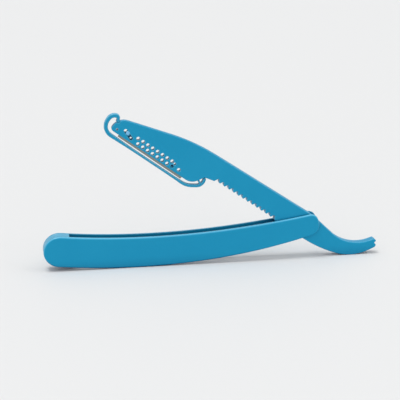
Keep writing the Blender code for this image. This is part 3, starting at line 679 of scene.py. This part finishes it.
def smooth_loop(loop):
    """A finer loop on a curve through the given points."""
    count = len(loop)
    sides = [loop[(i + 1) % count] - loop[i] for i in range(count)]
    slopes, gentle = [], []
    for i in range(count):
        before, after = sides[i - 1], sides[i]
        slopes.append((before + after) / (before.length + after.length))
        clear = (loop[i] - HINGE).length > HINGE_ZONE
        gentle.append(clear and before.angle(after) < GENTLE_TURN)
    finer = []
    for i in range(count):
        j = (i + 1) % count
        steps = LOOP_STEPS if gentle[i] and gentle[j] else 1
        for k in range(steps):
            t = k / steps
            ease = t * t * (3 - 2 * t)
            finer.append(loop[i] * (1 - ease) + loop[j] * ease
                         + (slopes[i] * t * (1 - t) ** 2 - slopes[j] * t * t * (1 - t))
                         * sides[i].length)
    return finer


smooth_outlines = {name: smooth_loop(loop) for name, loop in outlines.items()}
print("smoothed to points:", {name: len(loop) for name, loop in smooth_outlines.items()})

# %% [markdown]
# ## Drawing an outline in
# A rounded rim is a stack of outlines, each a little smaller than the one before. Scaling an
# outline down would thin its long arms and shift its hooks. So every point is moved to the
# inside, square to the outline there, and a little further in a corner, up to a limit.

# %% Drawn in
MITRE_LIMIT = 0.6             # least cosine with which a corner is still mitred to its tip


def clockwise(loop):
    """The loop in the order that has its inside on the right, seen from the front."""
    area = sum(a.x * b.z - b.x * a.z for a, b in zip(loop, loop[1:] + loop[:1]))
    return loop if area < 0 else loop[::-1]


def drawn_in(loop, distance):
    """The loop moved to its inside by a distance."""
    moved = []
    for i, here in enumerate(loop):
        before = (here - loop[i - 1]).normalized()
        after = (loop[(i + 1) % len(loop)] - here).normalized()
        side = (before + after).normalized()
        stretch = 1 / max(side.dot(after), MITRE_LIMIT)
        moved.append(here + Vector((side.z, 0.0, -side.x)) * distance * stretch)
    return moved


print("corners move in by up to", round(1 / MITRE_LIMIT, 2), "times the distance")

# %% [markdown]
# ## Plates with rounded rims
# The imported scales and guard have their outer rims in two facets, which is enough for a
# solver, but a highlight runs along these rims. A bevel would round the facets, and leave the
# chords of the arcs. So each is made again as a plate on its own smooth outline: rings of
# points are stepped from the front face round the rims to the back face, and each ring is
# drawn in by what a quarter round asks for.

# %% Plates
RIM_STEPS = 7
# Share of rim polish and painted highlight on a side that faces up, whose top catches the
# overhead lamp
SIDE_POLISH_AND_HIGHLIGHT_SHARE = 0.38             # of rim, on a side between the two rims that faces up


def rim_profile(low, high, low_rim, high_rim):
    """Depth, inset and the shares of rim polish and painted highlight, everywhere and where it
    faces up, from the front face round both rims to the back face."""
    def quarter(face, rim, sign):
        side = (face + sign * rim, 0.0, 0.0, SIDE_POLISH_AND_HIGHLIGHT_SHARE)
        turns = [math.pi / 2 * k / RIM_STEPS for k in range(RIM_STEPS)] if rim else []
        return [(face + sign * rim * (1 - math.cos(t)), rim * (1 - math.sin(t)),
                 math.sin(t) ** 2, 0.0) for t in turns] + [side]

    return quarter(low, low_rim, 1) + quarter(high, high_rim, -1)[::-1]


def add_plate(bm, loop, low, high, low_rim=0.0, high_rim=0.0):
    """Add a plate with a loop's outline, between two depths, with rounded rims."""
    loop = clockwise(loop)
    # Each point carries its share of rim polish and painted highlight
    carried = bm.verts.layers.float.get(RIM_POLISH_AND_HIGHLIGHT_SHARE) or bm.verts.layers.float.new(RIM_POLISH_AND_HIGHLIGHT_SHARE)
    # How far each point of the outline faces up
    rises = [(p - q).normalized().z for p, q in zip(loop, drawn_in(loop, MM))]

    def ring(y, inset, share=0.0, upper_share=0.0):
        points = [bm.verts.new((p.x, y, p.z)) for p in drawn_in(loop, inset)]
        for point, rise in zip(points, rises):
            point[carried] = share + upper_share * max(rise, 0.0)
        return points

    profile = rim_profile(low, high, low_rim, high_rim)
    rings = [ring(*step) for step in profile]
    for a, b in zip(rings, rings[1:]):
        for i in range(len(loop)):
            bm.faces.new((a[i - 1], a[i], b[i], b[i - 1]))
    # The faces have points of their own, so that no share of rim polish and painted highlight
    # runs across them
    bm.faces.new(ring(*profile[0][:2])[::-1])
    bm.faces.new(ring(*profile[-1][:2]))


print("steps of a quarter round:", RIM_STEPS)

# %% [markdown]
# ## From points to pieces
# Each piece that is made here needs normals that point outwards, smooth shading, a material and
# a body to move with. That could be set piece
# by piece. Helpers do it for all of them, so that none is forgotten. The last one holds a
# piece inside the box of the imported node that it replaces.

# %% Pieces
def as_object(name, bm):
    """A smooth-shaded object from a bmesh, with its normals outwards."""
    bmesh.ops.recalc_face_normals(bm, faces=bm.faces)
    mesh = bpy.data.meshes.new(name)
    bm.to_mesh(mesh)
    bm.free()
    mesh.shade_smooth()
    obj = bpy.data.objects.new(name, mesh)
    bpy.context.scene.collection.objects.link(obj)
    return obj


def as_piece(name, bm, material, body):
    """An object from a bmesh, shaded smooth across its gentle edges, that rides on a body."""
    piece = as_object(name, bm)
    piece.data.set_sharp_from_angle(angle=EDGE_ANGLE)
    piece.data.materials.append(material)
    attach(piece, body)
    return piece


def keep_inside(bm, node):
    """Hold the points of a bmesh inside a node's own box."""
    low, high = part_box(node)
    for vert in bm.verts:
        vert.co = [min(max(c, a), b) for c, a, b in zip(vert.co, low, high)]


print("edges count as sharp from", round(math.degrees(EDGE_ANGLE)), "degrees")

# %% [markdown]
# ## The two scales of the handle
# The handle is two bowed cheeks with the slot between them, which are joined by a solid block
# at the closed end. A scale could be one solid with a step cut into it. Two plates are simpler:
# the cheek on the whole outline, and the scale's half of the block on the part of the outline
# beyond the slot's end.

# %% Scales
HANDLE_TILT = math.radians(3.369)   # of the handle's chord, down towards its closed end
SLOT_END = 120.3 * MM         # from the pivot to the closed end of the slot
SLOT_HALF = 2.5 * MM
SEAM_HALF = 0.05 * MM
HANDLE_HALF = 4.0 * MM
SCALE_RIM = 0.8 * MM
BLOCK_LAP = SCALE_RIM / 4     # by which the block reaches into the cheek
CHORD = Vector((math.cos(HANDLE_TILT), 0.0, math.sin(HANDLE_TILT)))


def beyond_slot(loop):
    """The part of the handle's outline beyond the closed end of the slot."""
    reach = [(PIVOT - p).dot(CHORD) - SLOT_END for p in loop]
    first = next(k for k in range(len(loop)) if reach[k] > 0 and reach[k - 1] <= 0)
    order = [(first + k) % len(loop) for k in range(len(loop))]
    kept = [k for k in order if reach[k] > 0]
    crossings = []
    for inside, outside in ((kept[0], (kept[0] - 1) % len(loop)),
                            (kept[-1], (kept[-1] + 1) % len(loop))):
        share = reach[inside] / (reach[inside] - reach[outside])
        crossings.append(loop[inside].lerp(loop[outside], share))
    return [crossings[0]] + [loop[k] for k in kept] + [crossings[1]]


def make_scale(node_name, side):
    """A handle scale. side is -1 for the front one and 1 for the rear one."""
    loop = smooth_outlines[node_name]
    bm = bmesh.new()
    rims = (SCALE_RIM, 0.0) if side < 0 else (0.0, SCALE_RIM)
    cheek = sorted((side * SLOT_HALF, side * HANDLE_HALF))
    add_plate(bm, loop, *cheek, *rims)
    block = sorted((side * SEAM_HALF, side * (SLOT_HALF + BLOCK_LAP)))
    add_plate(bm, beyond_slot(loop), *block)
    keep_inside(bm, node_name)
    scale = as_piece(node_name.replace("scale", "scale_moulding"), bm, turquoise, "handle")
    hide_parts(node_name)
    return scale


scales = [make_scale("handle_front_scale", -1), make_scale("handle_rear_scale", 1)]
print("scales:", [scale.name for scale in scales])

# %% [markdown]
# ## The guard
# The guard is a thin bar that follows the cutting edge, curls round the toe and hooks under the
# heel. A curve with a round section would be quick, but the moulded bar is flat on both faces.
# So it is one more plate on its packed outline, with a small rim along both faces.

# %% Guard
GUARD_HALF = 1.3 * MM
GUARD_RIM = 0.3 * MM

bm = bmesh.new()
add_plate(bm, smooth_outlines["edge_guard"], -GUARD_HALF, GUARD_HALF, GUARD_RIM, GUARD_RIM)
keep_inside(bm, "edge_guard")
guard = as_piece("edge_guard_moulding", bm, turquoise, "guard")
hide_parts("edge_guard")
print("guard:", guard.name)

# %% [markdown]
# ## The honed edge
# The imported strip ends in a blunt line, as a solver needs it. The real one is honed to a fine
# wedge that stands a little further out, and it is this wedge that shows under the head. The
# strip itself could be tapered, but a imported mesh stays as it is. So the wedge is a prism of
# its own along the edge: as thick as the strip where it starts, and sharp where it ends.

# %% Honed edge
BLADE_EDGE_TOE = -106.0       # the edge's two ends in the arm's frame, in millimetres
BLADE_EDGE_HEEL = -68.0
WEDGE_TOP = 0.6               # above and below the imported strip's lowest line
WEDGE_TIP = -0.45
WEDGE_SKIN = 0.01             # by which each face of the wedge stands off the strip

strip_low, strip_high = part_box("blade")
blunt = blade_low / MM
faces = (strip_low[1] / MM - WEDGE_SKIN, strip_high[1] / MM + WEDGE_SKIN)
section = [(faces[0], blunt + WEDGE_TOP), (faces[1], blunt + WEDGE_TOP),
           (sum(faces) / 2, blunt + WEDGE_TIP)]
bm = bmesh.new()
ends = [[bm.verts.new(arm_point(x, y, z)) for y, z in section]
        for x in (BLADE_EDGE_TOE, BLADE_EDGE_HEEL)]
for k in range(len(section)):
    bm.faces.new((ends[0][k - 1], ends[0][k], ends[1][k], ends[1][k - 1]))
for end in ends:
    bm.faces.new(end)
as_piece("honed_edge", bm, steels["blade"], "arm")
print("edge ends", WEDGE_TIP, "mm from the blunt line")

# %% [markdown]
# ## The parting lines
# Where the two halves of a mould meet, the melt leaves a hair-thin raised line right round the
# piece. A bump could draw it, but then it would be missing from the mesh. So each line is a
# thin round bead along the outline that was sliced above. The bead is drawn in by its own
# radius at the extremes, so that it stays inside the solid's overall size. Round the guard's
# hinge it is trimmed off, where it would rub.

# %% Parting lines
BEAD_RADIUS = 0.035 * MM
BEAD_ROUNDING = 1             # steps of the bead's section
PARTINGS = {
    # node: body
    "handle_front_scale": "handle",
    "handle_rear_scale": "handle",
    "blade_arm": "arm",
    "edge_guard": "guard",
}


def trimmed(loop):
    """The points of the loop that lie clear of the guard's hinge, in order, and whether they
    are all of them."""
    far = [Vector((p.x - HINGE.x, p.z - HINGE.z)).length > HINGE_ZONE for p in loop]
    if all(far):
        return loop, True
    first = next(k for k in range(len(loop)) if far[k] and not far[k - 1])
    ordered = [(first + k) % len(loop) for k in range(len(loop))]
    return [loop[k] for k in ordered if far[k]], False


def make_bead(node, body):
    """A thin round bead along a node's outline, kept inside the node's box."""
    name = node + "_parting_line"
    curve = bpy.data.curves.new(name, "CURVE")
    curve.dimensions = "3D"
    curve.bevel_depth = BEAD_RADIUS
    curve.bevel_resolution = BEAD_ROUNDING
    curve.use_fill_caps = True
    margin = Vector((BEAD_RADIUS, 0.0, BEAD_RADIUS))
    low, high = Vector(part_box(node)[0]) + margin, Vector(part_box(node)[1]) - margin
    path, closed = trimmed(smooth_outlines[node])
    spline = curve.splines.new("POLY")
    spline.points.add(len(path) - 1)
    spline.use_cyclic_u = closed
    for point, place in zip(spline.points, path):
        point.co = (*[min(max(c, a), b) for c, a, b in zip(place, low, high)], 1.0)
    bead = bpy.data.objects.new(name, curve)
    bpy.context.scene.collection.objects.link(bead)
    curve.materials.append(turquoise)
    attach(bead, body)
    return bead


beads = [make_bead(node, body) for node, body in PARTINGS.items()]
print("parting lines:", [bead.name for bead in beads])

# %% [markdown]
# ## Small round discs
# Three small round things are left: the web of the guard's hinge and the melted ends of the two
# pegs. Blender's own cylinder has sharp rims, which melted or moulded plastic hasn't. So a disc
# is built as the plates are, from circles of points between its front and its back, with
# softened rims and, for a melted end, a low crown.

# %% Discs
DISC_SIDES = 48
DISC_RIM = 0.12 * MM
SOFTENING = 0.3               # share of the rim at which its middle circle stands
# Each circle of the crown, as shares of the front's radius and of the crown's height
CROWN_CIRCLES = ((0.8, 0.36), (0.55, 0.7), (0.3, 0.91), (0.12, 0.99))


def disc_profile(radius, low, high, crown):
    """Depth and radius of a disc's circles from its front to its back."""
    soft = DISC_RIM * SOFTENING
    inner = radius - DISC_RIM
    front = [(low + DISC_RIM, radius), (low + soft, radius - soft), (low, inner)]
    if crown:
        front += [(low - crown * rise, inner * share) for share, rise in CROWN_CIRCLES]
    back = [(high - DISC_RIM, radius), (high - soft, radius - soft), (high, inner)]
    return front[::-1] + back


def make_disc(name, centre, radius, low, high, crown=0.0):
    """A round disc along Y with softened rims. A crown makes its front bulge towards -Y."""
    bm = bmesh.new()
    turns = [2 * math.pi * k / DISC_SIDES for k in range(DISC_SIDES)]
    circles = []
    for y, r in disc_profile(radius, low, high, crown):
        circles.append([bm.verts.new(centre + Vector((math.cos(t) * r, y, math.sin(t) * r)))
                        for t in turns])
    for a, b in zip(circles, circles[1:]):
        for k in range(DISC_SIDES):
            bm.faces.new((a[k - 1], a[k], b[k], b[k - 1]))
    bm.faces.new(circles[0])
    bm.faces.new(circles[-1][::-1])
    return as_object(name, bm)


print("sides of a disc:", DISC_SIDES)

# %% [markdown]
# ## The living hinge of the guard
# On the real razor the guard is not a separate piece: a thin web of the same plastic joins its
# neck to the toe and bends. The imported model stands in for it with a round seat and a small
# gap. A flat strip across that gap would crease as it bends. The web is a round disc instead,
# which looks the same at every angle.

# %% Living hinge
WEB_RADIUS = 0.97 * MM
WEB_HALF_WIDTH = 1.12 * MM

web = make_disc("living_hinge_web", HINGE, WEB_RADIUS, -WEB_HALF_WIDTH, WEB_HALF_WIDTH)
web.data.materials.append(turquoise)
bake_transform(web)
print("web across, in mm:", round(2 * WEB_RADIUS / MM, 2))

# %% [markdown]
# ## The melted pegs
# The cover's two pegs pass through the blade and are melted over in the windows of the head,
# which is what holds the blade. Melting leaves a smooth, glossy dome. The toe's one has spread
# over the rim of its slot, and its pale tint is a painted highlight. The heel's one lies deep in
# its window, and its near-black tint is painted shade. They could be sculpted, but at this size
# a disc with a low crown looks the same.

# %% Peg heads
PEG_HEADS = {
    # name: (place in the arm's frame, radius, where its rim ends along Y, material), in mm
    "toe_peg_head": ((BLADE_EDGE_TOE + 2.9, -13.05), 1.0, -1.33, peg_highlight_plastic),
    "heel_peg_head": ((BLADE_EDGE_HEEL - 7.6, -14.1), 0.8, -1.0, peg_shade_plastic),
}
PEG_FOOT = -0.5               # where the melted part starts
PEG_CROWN = 0.14

# The toe head gets the painted highlight and the heel head the painted shade
for name, ((x, z), radius, face, melt) in PEG_HEADS.items():
    head = make_disc(name, arm_point(x, 0.0, z), radius * MM, face * MM, PEG_FOOT * MM,
                     crown=PEG_CROWN * MM)
    head.data.materials.append(melt)
    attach(head, "arm")
print("pegs:", list(PEG_HEADS))
